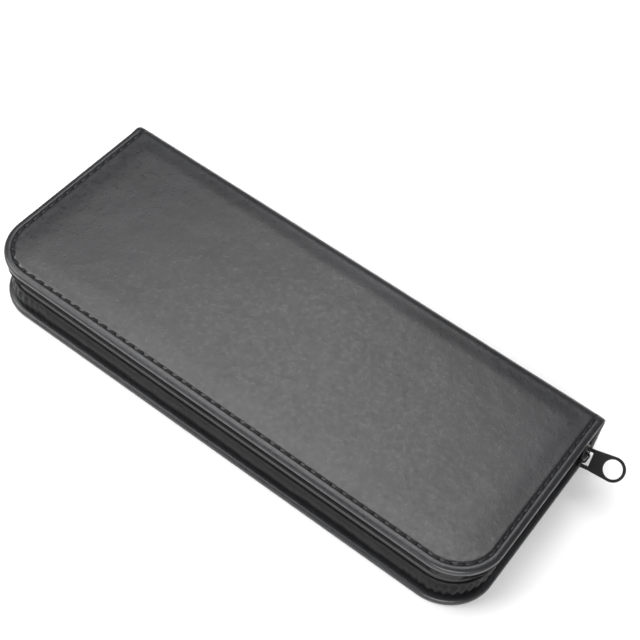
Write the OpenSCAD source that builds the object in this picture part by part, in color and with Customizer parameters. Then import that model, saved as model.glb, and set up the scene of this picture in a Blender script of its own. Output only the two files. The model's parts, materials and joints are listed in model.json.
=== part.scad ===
// Zip-around fountain pen case in soft leather cloth, lying zipped shut on its back cover.
// Origin: centre of the back cover's outer face. +X runs along the spine towards the closed
// end of the zip, +Y from the zip side to the spine, +Z up. All sizes in millimetres.

/* [Case] */
// Length along the spine
case_length = 200; // [180:1:230]
// Depth from the zip side to the back of the spine
case_depth = 82; // [78:1:96]
// Thickness when zipped shut
case_thickness = 23; // [23:0.5:28]
// Radius of the two corners at the zip side
corner_r = 17; // [12:1:22]

/* [Covers] */
// Thickness of the outer leather
skin_t = 0.8; // [0.6:0.1:1]
// Thickness of the foam under the leather
foam_t = 0.6; // [0.4:0.1:1]
// Thickness of the board that keeps a cover flat
board_t = 1.6; // [1.2:0.1:2]
// Thickness of the lining
lining_t = 0.4; // [0.3:0.1:0.6]
// Width of the leather that is turned in over the board
turn_in = 6; // [4:0.5:8]
// Height of the leather that is turned in over the board
turn_in_t = 0.6; // [0.4:0.1:0.8]
// Distance from the edge of a cover to its row of stitches
stitch_inset = 3; // [2.5:0.5:4]
// Distance from one stitch to the next
stitch_pitch = 4; // [3:0.25:5]

/* [Side wall] */
// How far the side wall stands inside the edge of the covers
wall_inset = 2.2; // [1.8:0.1:3]
// Thickness of the leather side wall
wall_t = 0.8; // [0.6:0.1:1]
// Height of the leather wall on the back cover
back_wall_h = 8.3; // [6.5:0.1:8.3]
// Height of the leather wall on the front cover
front_wall_h = 3.3; // [3:0.1:3.5]
// Width of the wall's foot, which is glued to the cover
foot_w = 4.8; // [4:0.2:6]
// Thickness of the wall's foot
foot_t = 0.6; // [0.4:0.1:0.8]

/* [Zip] */
// Thickness of the zip tape
tape_t = 0.5; // [0.4:0.1:0.6]
// Width of the coil across the tape
coil_w = 1.6; // [1.4:0.1:1.8]
// Height of the coil on the edge of one tape
coil_h = 0.75; // [0.6:0.05:0.9]
// Distance between the two coils
coil_gap = 0.8; // [0.7:0.1:1]
// Place along Y where the zip ends and the folding end web begins
zip_end_y = 35; // [28:1:36]
// Length of the slider along the zip
slider_length = 9; // [8:0.5:11]
// Height of the slider across the zip
slider_height = 5.2; // [4.6:0.1:5.2]
// Thickness of the slider's two plates
slider_plate_t = 0.8; // [0.6:0.1:0.8]
// Width of the pull tab
pull_w = 8.5; // [7:0.5:9]
// Thickness of the pull tab
pull_t = 1.2; // [1:0.1:1.6]
// Distance from the pull tab's pivot to the centre of its ring
pull_reach = 10.65; // [9:0.05:16]
// Radius of the hole in the pull tab
pull_hole_r = 3.25; // [2:0.25:3.25]
// Angle by which the pull tab lies skewed in its bail
pull_skew = 50; // [35:5:50]
// Turn of the pull tab towards the spine end, in degrees
pull_yaw = 12; // [0:2:14]
// Angle by which the pull tab stands up from straight out
pull_lift = 12; // [0:1:20]

/* [Pen holders] */
// Thickness of the sleeve leather
sleeve_t = 0.8; // [0.6:0.1:1]
// Width of the flat edge by which a sleeve is sewn down
sleeve_flange = 2.5; // [2:0.5:4]
// Height of a sleeve's centre line above the lining
sleeve_centre_h = 4.2; // [3:0.2:5]
// Length of both sleeves
sleeve_length = 50; // [40:1:56]
// Inner radius of the near sleeve at its mouth
near_mouth_r = 7.4; // [6.6:0.2:8]
// Inner radius of the near sleeve at its tip
near_tip_r = 5.9; // [5.9:0.1:6.4]
// Inner radius of the sleeve beside the spine at its mouth
spine_mouth_r = 9.6; // [8:0.2:9.6]
// Inner radius of the sleeve beside the spine at its tip
spine_tip_r = 6.2; // [5.9:0.1:7]
// Width of the elastic bands
elastic_w = 17; // [14:1:20]
// Thickness of the elastic bands
elastic_t = 1.2; // [0.8:0.2:1.4]
// Height by which the middle of a band bows off the lining
elastic_bow = 1.2; // [0.8:0.2:2]

/* [Hidden] */
$fn = 48;

leather = [0.13, 0.13, 0.14];
wall_leather = [0.07, 0.07, 0.075];
thread = [0.05, 0.05, 0.055];
tape_black = [0.03, 0.03, 0.035];
lining_grey = [0.26, 0.25, 0.30];
elastic_black = [0.06, 0.06, 0.065];
board_grey = [0.55, 0.53, 0.5];
foam_white = [0.85, 0.85, 0.82];
metal_black = [0.04, 0.04, 0.045];
rivet_grey = [0.45, 0.45, 0.47];

half_length = case_length / 2;
half_depth = case_depth / 2;
cover_t = skin_t + foam_t + board_t;
inside_z = cover_t + lining_t;

// The covers and the spine meet at two folds, each on an axis along X.
fold_r = cover_t / 2;
fold_y = half_depth - fold_r;
fold_bead_r = fold_r - 0.05;
fold_room = 0.2;
plate_end_y = fold_y - fold_r - fold_room;
lining_end_y = plate_end_y - 0.5;

// The zip runs half way between the two leather walls.
lower_band_z = cover_t + back_wall_h;
upper_band_z = case_thickness - cover_t - front_wall_h;
zip_z = (lower_band_z + upper_band_z) / 2;
tape_inset = wall_inset + wall_t;
tape_mid_inset = tape_inset + tape_t / 2;
tape_lap = 3;
coil_outer_inset = tape_mid_inset - coil_w / 2;
coil_inner_inset = tape_mid_inset + coil_w / 2;
stop_length = 2;
stop_gap = 0.2;
coil_end_y = zip_end_y - stop_length - 2 * stop_gap;
mitre_gap = 0.35;

stitch_size = [2.8, 0.7, 0.35];
groove_w = 1;
groove_depth = 0.4;
piping_size = [1.3, 0.8];
piping_rise = 0.4;

// The spine's layers, from its back face inwards.
spine_board_y = half_depth - skin_t - board_t;
spine_lining_y = spine_board_y - lining_t;
tail_t = 0.8;
tab_t = 1;
tab_face_y = spine_lining_y - tail_t - tab_t;
tab_x = [-88, -63];
tab_half_w = [7.2, 5.6];
rivet_x = -83;
rivet_r = 4;

slider_y = coil_end_y - stop_gap / 2 - slider_length / 2;
slider_outer_x = half_length - coil_outer_inset + 0.15;
slider_inner_x = half_length - coil_inner_inset - 0.15;
slider_z = zip_z;
slider_bottom_z = slider_z - slider_height / 2;
plate_face_x = slider_outer_x + slider_plate_t;
bail_room = 3;
pivot_x = plate_face_x + bail_room / 2;

near_sleeve_at = [-33, -17];
spine_sleeve_at = [33.5, 16.5];
near_band_at = [26.25, -13.5];
near_band_length = 27;
middle_band_at = [-23.25, 15.7];
middle_band_length = 38;
lid_band_at = [-35.5, 2];
lid_band_length = 38;
band_end = 4;
sew_size = [2.2, 0.5, 0.25];
sew_pitch = 3.3;

// Cover outline set in from its edge: two round corners at the zip side, open to the spine.
module cover_shape(inset, end_y) {
    half = half_length - inset;
    near = -half_depth + inset;
    r = corner_r - inset;
    translate([-half, near + r])
        square([2 * half, end_y - near - r]);
    translate([-half + r, near])
        square([2 * (half - r), r]);
    for (side = [-1, 1])
        translate([side * (half - r), near + r])
            circle(r);
}

// Band that follows the zip side and the two short sides, between two insets.
module edge_band(outer, inner, z_from, z_to, end_y) {
    translate([0, 0, z_from])
        linear_extrude(z_to - z_from)
            difference() {
                cover_shape(outer, end_y);
                cover_shape(inner, end_y + 1);
            }
}

module cover_plate(inset, z_from, z_to, end_y) {
    translate([0, 0, z_from])
        linear_extrude(z_to - z_from)
            cover_shape(inset, end_y);
}

// Outline drawn in Y and Z, extruded along X.
module along_x(x_from, x_to, points) {
    translate([x_from, 0, 0])
        rotate([90, 0, 90])
            linear_extrude(x_to - x_from)
                polygon(points);
}

// Turns a piece drawn for the back cover over, to make the front cover's.
module on_front_cover() {
    translate([0, 0, case_thickness])
        mirror([0, 0, 1])
            children();
}

// Cuts a wall along the slanting fold line from the spine's fold up to the end of the zip.
module mitred(zip_h) {
    far_y = fold_y + 9;
    difference() {
        children();
        along_x(-half_length - 1, half_length + 1, [
            [fold_y - mitre_gap, fold_r], [zip_end_y - mitre_gap, zip_h],
            [zip_end_y - mitre_gap, case_thickness], [far_y, case_thickness], [far_y, fold_r]
        ]);
    }
}

// The stitched edge, measured from the right-hand end: side, corner, zip side, corner, side.
function side_run(end_y) = end_y + half_depth - corner_r;
function corner_run(inset) = (corner_r - inset) * PI / 2;
near_run = case_length - 2 * corner_r;
function edge_run(inset, end_y) = 2 * side_run(end_y) + 2 * corner_run(inset) + near_run;
function turned(s, r) = s / r * 180 / PI;
// Place and heading [x, y, degrees] at the distance s along that edge.
function edge_at(s, inset, end_y) =
    let (side = side_run(end_y), corner = corner_run(inset), r = corner_r - inset,
         cx = half_length - corner_r, cy = -half_depth + corner_r)
    s < side ? [cx + r, end_y - s, -90]
    : s < side + corner ? let (a = turned(s - side, r))
        [cx + r * cos(a), cy - r * sin(a), -90 - a]
    : s < side + corner + near_run ? [cx - (s - side - corner), cy - r, 180]
    : s < side + 2 * corner + near_run ? let (a = turned(s - side - corner - near_run, r))
        [-cx - r * sin(a), cy - r * cos(a), 180 - a]
    : [-cx - r, cy + s - side - 2 * corner - near_run, 90];

module cover_skin() {
    difference() {
        cover_plate(0, 0, cover_t, plate_end_y);
        cover_plate(skin_t, skin_t, cover_t - turn_in_t, plate_end_y + 1);
        cover_plate(turn_in, cover_t - turn_in_t - 0.1, cover_t + 1, plate_end_y + 1);
        edge_band(stitch_inset - groove_w / 2, stitch_inset + groove_w / 2,
                  -1, groove_depth, plate_end_y + 1);
    }
}

module cover_foam() {
    cover_plate(skin_t, skin_t, skin_t + foam_t, plate_end_y);
}

module cover_board() {
    cover_plate(skin_t, skin_t + foam_t, cover_t - turn_in_t, plate_end_y);
    cover_plate(turn_in, cover_t - turn_in_t, cover_t, plate_end_y);
}

module cover_lining() {
    cover_plate(wall_inset + foot_w, cover_t, inside_z, lining_end_y);
}

module cover_stitching() {
    run = edge_run(stitch_inset, lining_end_y);
    count = floor(run / stitch_pitch);
    for (i = [0 : count - 1]) {
        place = edge_at((i + 0.5) * run / count, stitch_inset, lining_end_y);
        translate([place.x, place.y, groove_depth - stitch_size.z / 2])
            rotate(place[2])
                cube(stitch_size, center = true);
    }
}

module gusset(wall_h, zip_h) {
    mitred(zip_h) {
        union() {
            edge_band(wall_inset, wall_inset + wall_t, cover_t, cover_t + wall_h, plate_end_y);
            edge_band(wall_inset, wall_inset + foot_w, cover_t, cover_t + foot_t, plate_end_y);
        }
    }
}

module zip_tape(wall_h, zip_h) {
    from = max(cover_t + foot_t, cover_t + wall_h - tape_lap);
    mitred(zip_h)
        edge_band(tape_inset, tape_inset + tape_t, from, zip_h - coil_gap / 2 - coil_h, plate_end_y);
}

module zip_coil(zip_h) {
    top = zip_h - coil_gap / 2;
    edge_band(coil_outer_inset, coil_inner_inset, top - coil_h, top, coil_end_y);
}

// A stop clamped on the end of a tape; side is 1 for the right wall and -1 for the left.
module zip_stop(side, z_from, z_to) {
    x_mid = side * (half_length - tape_mid_inset);
    translate([x_mid - coil_w / 2, coil_end_y + stop_gap, z_from])
        cube([coil_w, stop_length, z_to - z_from]);
}

module back_cover_skin() {
    color(leather) cover_skin();
}

module back_cover_foam() {
    color(foam_white) cover_foam();
}

module back_cover_board() {
    color(board_grey) cover_board();
}

module back_cover_lining() {
    color(lining_grey) cover_lining();
}

module back_cover_stitching() {
    color(thread) cover_stitching();
}

module back_gusset() {
    color(wall_leather) gusset(back_wall_h, zip_z);
}

module lower_zip_tape() {
    color(tape_black) zip_tape(back_wall_h, zip_z);
}

module lower_zip_coil() {
    color(tape_black) zip_coil(zip_z);
}

module lower_top_stop() {
    color(metal_black) zip_stop(1, zip_z - coil_gap / 2 - coil_h, zip_z - coil_gap / 2);
}

module zip_bottom_stop() {
    color(metal_black)
        zip_stop(-1, zip_z - coil_gap / 2 - coil_h, zip_z + coil_gap / 2 + coil_h - 0.15);
}

// Tapering leather tube on a flat base, from its mouth at x = 0 to its tip.
module pen_sleeve(mouth_r, tip_r) {
    base = sleeve_t + sleeve_flange;
    mouth_half = sqrt(mouth_r * mouth_r - sleeve_centre_h * sleeve_centre_h) + base;
    tip_half = sqrt(tip_r * tip_r - sleeve_centre_h * sleeve_centre_h) + base;
    room = mouth_r + sleeve_t + 1;
    difference() {
        union() {
            intersection() {
                translate([0, 0, sleeve_centre_h])
                    rotate([0, 90, 0])
                        cylinder(h = sleeve_length, r1 = mouth_r + sleeve_t, r2 = tip_r + sleeve_t);
                translate([-1, -room, 0])
                    cube([sleeve_length + 2, 2 * room, 2 * room + sleeve_centre_h]);
            }
            linear_extrude(sleeve_t)
                polygon([[0, -mouth_half], [sleeve_length, -tip_half],
                         [sleeve_length, tip_half], [0, mouth_half]]);
        }
        translate([-1, 0, sleeve_centre_h])
            rotate([0, 90, 0])
                cylinder(h = sleeve_length + 2,
                         r1 = mouth_r + (mouth_r - tip_r) / sleeve_length,
                         r2 = tip_r - (mouth_r - tip_r) / sleeve_length);
    }
}

module near_pen_sleeve() {
    color(leather)
        translate([near_sleeve_at.x, near_sleeve_at.y, inside_z])
            rotate(180)
                pen_sleeve(near_mouth_r, near_tip_r);
}

module spine_pen_sleeve() {
    color(leather)
        translate([spine_sleeve_at.x, spine_sleeve_at.y, inside_z])
            pen_sleeve(spine_mouth_r, spine_tip_r);
}

// Elastic band sewn down at both ends, bowed off the lining between them.
module elastic_band(length) {
    half = length / 2;
    rise = band_end + 2 * elastic_bow;
    translate([0, 0, inside_z])
        along_x(-elastic_w / 2, elastic_w / 2, [
            [-half, 0], [-half + band_end, 0], [-half + rise, elastic_bow],
            [half - rise, elastic_bow], [half - band_end, 0], [half, 0],
            [half, elastic_t], [half - band_end, elastic_t], [half - rise, elastic_bow + elastic_t],
            [-half + rise, elastic_bow + elastic_t], [-half + band_end, elastic_t], [-half, elastic_t]
        ]);
}

module near_elastic_band() {
    color(elastic_black)
        translate([near_band_at.x, near_band_at.y, 0])
            elastic_band(near_band_length);
}

module middle_elastic_band() {
    color(elastic_black)
        translate([middle_band_at.x, middle_band_at.y, 0])
            elastic_band(middle_band_length);
}

// Row of stitches lying on a surface, from one point to another, both [x, y].
module sewn_row(from, to, z) {
    step = to - from;
    count = floor(norm(step) / sew_pitch);
    heading = atan2(step.y, step.x);
    for (i = [0 : count - 1]) {
        at = from + step * (i + 0.5) / count;
        translate([at.x, at.y, z + sew_size.z / 2])
            rotate(heading)
                cube(sew_size, center = true);
    }
}

module band_rows(length) {
    for (end = [-1, 1]) {
        y = end * (length / 2 - band_end / 2);
        sewn_row([-elastic_w / 2, y], [elastic_w / 2, y], inside_z + elastic_t);
    }
}

module sleeve_rows(mouth_r, tip_r) {
    offset_y = sleeve_t + sleeve_flange / 2 + 0.4;
    mouth_half = sqrt(mouth_r * mouth_r - sleeve_centre_h * sleeve_centre_h) + offset_y;
    tip_half = sqrt(tip_r * tip_r - sleeve_centre_h * sleeve_centre_h) + offset_y;
    for (side = [-1, 1])
        sewn_row([0.5, side * mouth_half], [sleeve_length - 0.5, side * tip_half],
                 inside_z + sleeve_t);
}

module holder_stitching() {
    color(thread) {
        translate([near_sleeve_at.x, near_sleeve_at.y, 0])
            rotate(180)
                sleeve_rows(near_mouth_r, near_tip_r);
        translate([spine_sleeve_at.x, spine_sleeve_at.y, 0])
            sleeve_rows(spine_mouth_r, spine_tip_r);
        translate([near_band_at.x, near_band_at.y, 0])
            band_rows(near_band_length);
        translate([middle_band_at.x, middle_band_at.y, 0])
            band_rows(middle_band_length);
    }
}

// Leather over the spine, rolled round both folds.
module spine_skin() {
    inner_z = 2 * fold_r + fold_room;
    color(leather)
        difference() {
            union() {
                translate([-half_length, spine_board_y, inner_z])
                    cube([case_length, skin_t + board_t, case_thickness - 2 * inner_z]);
                translate([-half_length, half_depth - skin_t, fold_r])
                    cube([case_length, skin_t, case_thickness - 2 * fold_r]);
                for (z = [fold_r, case_thickness - fold_r])
                    translate([-half_length, fold_y, z])
                        rotate([0, 90, 0])
                            cylinder(h = case_length, r = fold_bead_r);
            }
            spine_board_space(0);
        }
}

// Space for the spine's board inside its leather.
module spine_board_space(extra) {
    z = 2 * fold_r + fold_room;
    translate([-half_length + skin_t, spine_board_y - extra, z])
        cube([case_length - 2 * skin_t, board_t + extra, case_thickness - 2 * z]);
}

module spine_stiffener() {
    color(board_grey) spine_board_space(0);
}

module spine_lining() {
    color(lining_grey)
        translate([-half_length + wall_inset, spine_lining_y, inside_z])
            cube([2 * (half_length - wall_inset), lining_t, case_thickness - 2 * inside_z]);
}

// Triangular leather web that stands on the end of the spine and reaches to the zip's end.
module end_web(side) {
    slack = mitre_gap + 0.15;
    x_mid = side * (half_length - wall_inset - wall_t / 2);
    clear_z = cover_t + foot_t + 0.3;
    intersection() {
        along_x(x_mid - wall_t / 2, x_mid + wall_t / 2, [
            [fold_y + slack, fold_r], [zip_end_y + slack, zip_z],
            [fold_y + slack, case_thickness - fold_r]
        ]);
        translate([-case_length, 0, clear_z])
            cube([2 * case_length, spine_lining_y, case_thickness - 2 * clear_z]);
    }
}

module left_end_web() {
    color(wall_leather) end_web(-1);
}

module right_end_web() {
    color(wall_leather) end_web(1);
}

// Outline of the tail tab in X and Z, laid against the inside of the spine.
module tab_outline(from_x, to_x, half_from, half_to, y_from, y_to) {
    translate([0, y_to, case_thickness / 2])
        rotate([90, 0, 0])
            linear_extrude(y_to - y_from)
                polygon([[from_x, -half_from], [to_x, -half_to], [to_x, half_to], [from_x, half_from]]);
}

module zip_tail() {
    color(tape_black)
        tab_outline(-half_length + wall_inset + wall_t, tab_x[1] - 3, 5, 4,
                    spine_lining_y - tail_t, spine_lining_y);
}

module tail_tab() {
    color(leather)
        difference() {
            tab_outline(tab_x[0], tab_x[1], tab_half_w[0], tab_half_w[1],
                        tab_face_y, tab_face_y + tab_t);
            translate([rivet_x, tab_face_y + tab_t + 1, case_thickness / 2])
                rotate([90, 0, 0])
                    cylinder(h = tab_t + 2, r = 1.2);
        }
}

// Cap rivet that holds the tab on the end of the zip: shank through the tab and a domed cap.
module tail_rivet() {
    color(rivet_grey)
        translate([rivet_x, tab_face_y, case_thickness / 2])
            rotate([90, 0, 0])
                rotate_extrude()
                    polygon([[0, -tab_t], [1.2, -tab_t], [1.2, 0], [rivet_r, 0],
                             [rivet_r, 0.5], [rivet_r - 0.6, 1.1], [rivet_r - 2, 1.5], [0, 1.6]]);
}

module front_cover_skin() {
    color(leather) on_front_cover() cover_skin();
}

module front_cover_foam() {
    color(foam_white) on_front_cover() cover_foam();
}

module front_cover_board() {
    color(board_grey) on_front_cover() cover_board();
}

module front_cover_lining() {
    color(lining_grey) on_front_cover() cover_lining();
}

module front_cover_stitching() {
    color(thread) on_front_cover() cover_stitching();
}

module front_gusset() {
    color(wall_leather) on_front_cover() gusset(front_wall_h, case_thickness - zip_z);
}

// Hem of the front cover's wall, folded outwards so that it stands out like piping.
module gusset_piping() {
    color(leather)
        on_front_cover()
            mitred(case_thickness - zip_z)
                edge_band(wall_inset - piping_size[0], wall_inset,
                          cover_t + front_wall_h - piping_rise - piping_size[1],
                          cover_t + front_wall_h - piping_rise, plate_end_y);
}

module upper_zip_tape() {
    color(tape_black) on_front_cover() zip_tape(front_wall_h, case_thickness - zip_z);
}

module upper_zip_coil() {
    color(tape_black) on_front_cover() zip_coil(case_thickness - zip_z);
}

module upper_top_stop() {
    color(metal_black) zip_stop(1, zip_z + coil_gap / 2, zip_z + coil_gap / 2 + coil_h);
}

module lid_elastic_band() {
    color(elastic_black)
        on_front_cover()
            translate([lid_band_at.x, lid_band_at.y, 0])
                elastic_band(lid_band_length);
}

module lid_band_stitching() {
    color(thread)
        on_front_cover()
            translate([lid_band_at.x, lid_band_at.y, 0])
                band_rows(lid_band_length);
}

// One plate of the slider, with its corners cut off.
module slider_plate(x_from) {
    a = slider_length / 2;
    b = slider_height / 2;
    cut = 1.4;
    translate([0, slider_y, slider_z])
        along_x(x_from, x_from + slider_plate_t, [
            [-a, -b + cut], [-a + cut, -b], [a - cut, -b], [a, -b + cut],
            [a, b - cut], [a - cut, b], [-a + cut, b], [-a, b - cut]
        ]);
}

// Zip slider: an outer and an inner plate, the post between the coils and the lower flanges.
module slider_body() {
    slot = slider_outer_x - slider_inner_x;
    flange_t = 0.5;
    flange_h = 1;
    flange_length = slider_length - 3.2;
    post_h = coil_gap - 0.2;
    post_length = 2.5;
    color(metal_black) {
        slider_plate(slider_outer_x);
        slider_plate(slider_inner_x - slider_plate_t);
        translate([slider_inner_x - 0.1, slider_y + slider_length / 2 - post_length - 0.5,
                   slider_z - post_h / 2])
            cube([slot + 0.2, post_length, post_h]);
        for (x = [slider_inner_x - 0.1, slider_outer_x - flange_t])
            translate([x, slider_y - flange_length / 2, slider_bottom_z])
                cube([flange_t + 0.1, flange_length, flange_h]);
    }
}

// Bridge on the outer plate under which the pull tab's bar lies.
module slider_bail() {
    half_opening = 1.6;
    bar = 0.6;
    half_height = 0.45;
    color(metal_black)
        difference() {
            translate([plate_face_x, slider_y - half_opening - bar, slider_z - half_height])
                cube([bail_room + bar, 2 * (half_opening + bar), 2 * half_height]);
            translate([plate_face_x - 1, slider_y - half_opening, slider_z - half_height - 1])
                cube([bail_room + 1, 2 * half_opening, 2 * half_height + 2]);
        }
}

// Pull tab: a round bar under the bail, two cheeks beside it and a flat strip with a ring hole.
// It is drawn lying along +X with its bar upright, then lifted, and skewed in the bail.
module puller_tab() {
    bar_r = 0.55;
    cheek_r = 0.85;
    crotch = 3;
    root_half = 3.6;
    cheek_t = 1.25;
    half_w = pull_w / 2;
    color(metal_black)
        translate([pivot_x, slider_y, slider_z])
            rotate([-pull_skew, 0, pull_yaw])
                rotate(-pull_lift)
                    difference() {
                        union() {
                            cylinder(h = 2 * root_half - 1, r = bar_r, center = true);
                            for (side = [-1, 1])
                                translate([0, 0, side * (root_half - cheek_t / 2)]) {
                                    cylinder(h = cheek_t, r = cheek_r, center = true);
                                    translate([0, -pull_t / 2, -cheek_t / 2])
                                        cube([crotch + 0.5, pull_t, cheek_t]);
                                }
                            rotate([90, 0, 0])
                                linear_extrude(pull_t, center = true)
                                    polygon([[crotch, -root_half], [pull_reach, -half_w],
                                             [pull_reach, half_w], [crotch, root_half]]);
                            translate([pull_reach, 0, 0])
                                rotate([90, 0, 0])
                                    cylinder(h = pull_t, r = half_w, center = true);
                        }
                        translate([pull_reach, 0, 0])
                            rotate([90, 0, 0])
                                cylinder(h = pull_t + 2, r = pull_hole_r, center = true);
                    }
}

back_cover_skin();
back_cover_foam();
back_cover_board();
back_cover_lining();
back_cover_stitching();
back_gusset();
lower_zip_tape();
lower_zip_coil();
lower_top_stop();
zip_bottom_stop();
near_pen_sleeve();
spine_pen_sleeve();
near_elastic_band();
middle_elastic_band();
holder_stitching();
spine_skin();
spine_stiffener();
spine_lining();
left_end_web();
right_end_web();
zip_tail();
tail_tab();
tail_rivet();
front_cover_skin();
front_cover_foam();
front_cover_board();
front_cover_lining();
front_cover_stitching();
front_gusset();
gusset_piping();
upper_zip_tape();
upper_zip_coil();
upper_top_stop();
lid_elastic_band();
lid_band_stitching();
slider_body();
slider_bail();
puller_tab();
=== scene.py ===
import json
import math

import bmesh
import bpy
import numpy as np
from mathutils import Matrix, Vector, noise


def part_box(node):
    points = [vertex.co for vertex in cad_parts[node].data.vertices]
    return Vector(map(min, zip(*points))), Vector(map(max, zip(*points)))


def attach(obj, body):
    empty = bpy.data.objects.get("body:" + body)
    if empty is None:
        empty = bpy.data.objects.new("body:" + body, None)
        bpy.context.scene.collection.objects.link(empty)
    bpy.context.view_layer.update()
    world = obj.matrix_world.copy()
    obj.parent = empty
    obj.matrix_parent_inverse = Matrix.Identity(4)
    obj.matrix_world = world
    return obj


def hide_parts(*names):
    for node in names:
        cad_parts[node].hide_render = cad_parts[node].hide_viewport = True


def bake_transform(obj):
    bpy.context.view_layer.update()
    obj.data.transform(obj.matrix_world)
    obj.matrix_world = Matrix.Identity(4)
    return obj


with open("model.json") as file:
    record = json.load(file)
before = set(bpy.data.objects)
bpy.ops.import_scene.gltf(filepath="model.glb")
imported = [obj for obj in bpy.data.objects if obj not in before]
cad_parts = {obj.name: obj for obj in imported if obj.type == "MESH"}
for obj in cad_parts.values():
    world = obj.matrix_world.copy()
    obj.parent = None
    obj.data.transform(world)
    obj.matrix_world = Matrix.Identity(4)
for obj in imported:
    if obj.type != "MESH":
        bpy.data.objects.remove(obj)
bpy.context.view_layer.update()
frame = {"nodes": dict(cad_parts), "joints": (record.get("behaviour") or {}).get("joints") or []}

MM = 0.001


# ---------------------------------------------------------------- places read from the frame

def span(node):
    """Lowest and highest corner of a CAD node, in millimetres."""
    low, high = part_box(node)
    return low / MM, high / MM


def hinge_at(name):
    """Y and Z of a fold's axis, in millimetres."""
    joint = next(j for j in frame["joints"] if j["name"] == name)
    return np.array(joint["pos_m"][1:]) / MM


def outline_corner():
    """Radius of a cover's round corner, from where its near edge stops being straight."""
    points = np.array([v.co for v in frame["nodes"]["back_cover_skin"].data.vertices]) / MM
    near = points[points[:, 1] < points[:, 1].min() + 0.01]
    return points[:, 0].max() - near[:, 0].max()


SKIN_LOW, SKIN_HIGH = span("back_cover_skin")
HALF_L = SKIN_HIGH.x
NEAR_Y = SKIN_LOW.y
COVER_T = SKIN_HIGH.z
TOP_Z = span("front_cover_skin")[1].z
BACK_Y = span("spine_skin")[1].y
MID_Z = TOP_Z / 2
CORNER_R = outline_corner()
CORNER_X = HALF_L - CORNER_R
CORNER_Y = NEAR_Y + CORNER_R
LOWER_FOLD = hinge_at("spine_fold")
UPPER_FOLD = hinge_at("cover_fold")

WALL_INSET = HALF_L - span("back_gusset")[1].x
LOWER_WALL_Z = span("back_gusset")[1].z
UPPER_WALL_Z = span("front_gusset")[0].z
TAPE_INSET = HALF_L - span("lower_zip_tape")[1].x
WEB_LOW, WEB_HIGH = span("right_end_web")
COIL_HIGH = span("lower_zip_coil")[1]
ZIP_Z = (COIL_HIGH.z + span("upper_zip_coil")[0].z) / 2
ZIP_END_Y = span("lower_top_stop")[1].y + 0.2
LINING_T = span("back_cover_lining")[1].z - COVER_T

# The leather rolls from a cover into the spine on this radius; the rest is the sheet's own path.
ROLL_R = 4.2
ROLL_FROM = BACK_Y - ROLL_R
ROLL_TO = ROLL_FROM + ROLL_R * math.pi / 2
END_V = ROLL_TO + TOP_Z - ROLL_R - MID_Z
FOLD_T = 1.2
SPINE_T = 2.4
STITCH_INSET = 3.0
STITCH_END_V = span("back_cover_lining")[1].y
STITCH_SPACING = 4.0

# Pull tab: lengths along it from its pivot, half widths across it, and radii.
TAB_REACH, TAB_CROTCH = 10.65, 3.0
TAB_HALF_W, TAB_ROOT, TAB_HALF_T = 4.25, 3.6, 0.6
TAB_CHEEK = 1.25
TAB_HOLE_R, TAB_KNUCKLE_R, TAB_BAR_R = 3.25, 0.85, 0.55


def ease(low, high, x):
    """0 up to low, 1 from high on, and a smooth rise between."""
    t = np.clip((x - low) / (high - low), 0, 1)
    return t * t * (3 - 2 * t)


def wobble(x, y, z):
    """Smooth pseudo-random field between about -1 and 1."""
    sample = np.vectorize(lambda a, b, c: noise.noise(Vector((a, b, c))))
    return sample(*np.broadcast_arrays(x, y, z)).astype(float)


# ---------------------------------------------------------------- meshes

def build(name, points, faces, finish, close_ends=False):
    """Mesh object from points in millimetres, welded, with its normals outwards."""
    mesh = bpy.data.meshes.new(name)
    mesh.from_pydata((np.asarray(points, float) * MM).tolist(), [], faces)
    bm = bmesh.new()
    bm.from_mesh(mesh)
    bmesh.ops.remove_doubles(bm, verts=bm.verts, dist=2e-6)
    bmesh.ops.dissolve_degenerate(bm, edges=bm.edges, dist=1e-7)
    if close_ends:
        bmesh.ops.holes_fill(bm, edges=[e for e in bm.edges if e.is_boundary], sides=0)
    bmesh.ops.recalc_face_normals(bm, faces=bm.faces)
    bm.to_mesh(mesh)
    bm.free()
    mesh.polygons.foreach_set("use_smooth", [True] * len(mesh.polygons))
    piece = bpy.data.objects.new(name, mesh)
    bpy.context.scene.collection.objects.link(piece)
    mesh.materials.append(finish)
    return piece


def grid_faces(rows, columns, first=0, closed=False):
    """Quads between the points of a grid stored row by row; closed joins each row's ends."""
    last = columns if closed else columns - 1
    faces = []
    for r in range(rows - 1):
        for c in range(last):
            d = (c + 1) % columns
            a = first + r * columns
            faces.append((a + c, a + d, a + columns + d, a + columns + c))
    return faces


def loft(name, rings, finish):
    """Closed skin over rings of points, an array of rings by points by 3, with flat ends."""
    rows, columns = rings.shape[:2]
    faces = grid_faces(rows, columns, closed=True)
    faces.append(tuple(range(columns)))
    faces.append(tuple(range((rows - 1) * columns, rows * columns)))
    return build(name, rings.reshape(-1, 3), faces, finish)


def merge(name, pieces, finish):
    """One object from several, keeping every piece a shell of its own."""
    bm = bmesh.new()
    for piece in pieces:
        bm.from_mesh(piece.data)
        bpy.data.objects.remove(piece)
    mesh = bpy.data.meshes.new(name)
    bm.to_mesh(mesh)
    bm.free()
    whole = bpy.data.objects.new(name, mesh)
    bpy.context.scene.collection.objects.link(whole)
    mesh.materials.append(finish)
    return whole


def apply_modifiers(piece):
    """Bakes a piece's modifiers into its mesh."""
    bpy.context.view_layer.update()
    graph = bpy.context.evaluated_depsgraph_get()
    mesh = bpy.data.meshes.new_from_object(piece.evaluated_get(graph))
    piece.modifiers.clear()
    piece.data = mesh
    mesh.polygons.foreach_set("use_smooth", [True] * len(mesh.polygons))
    return piece


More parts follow.
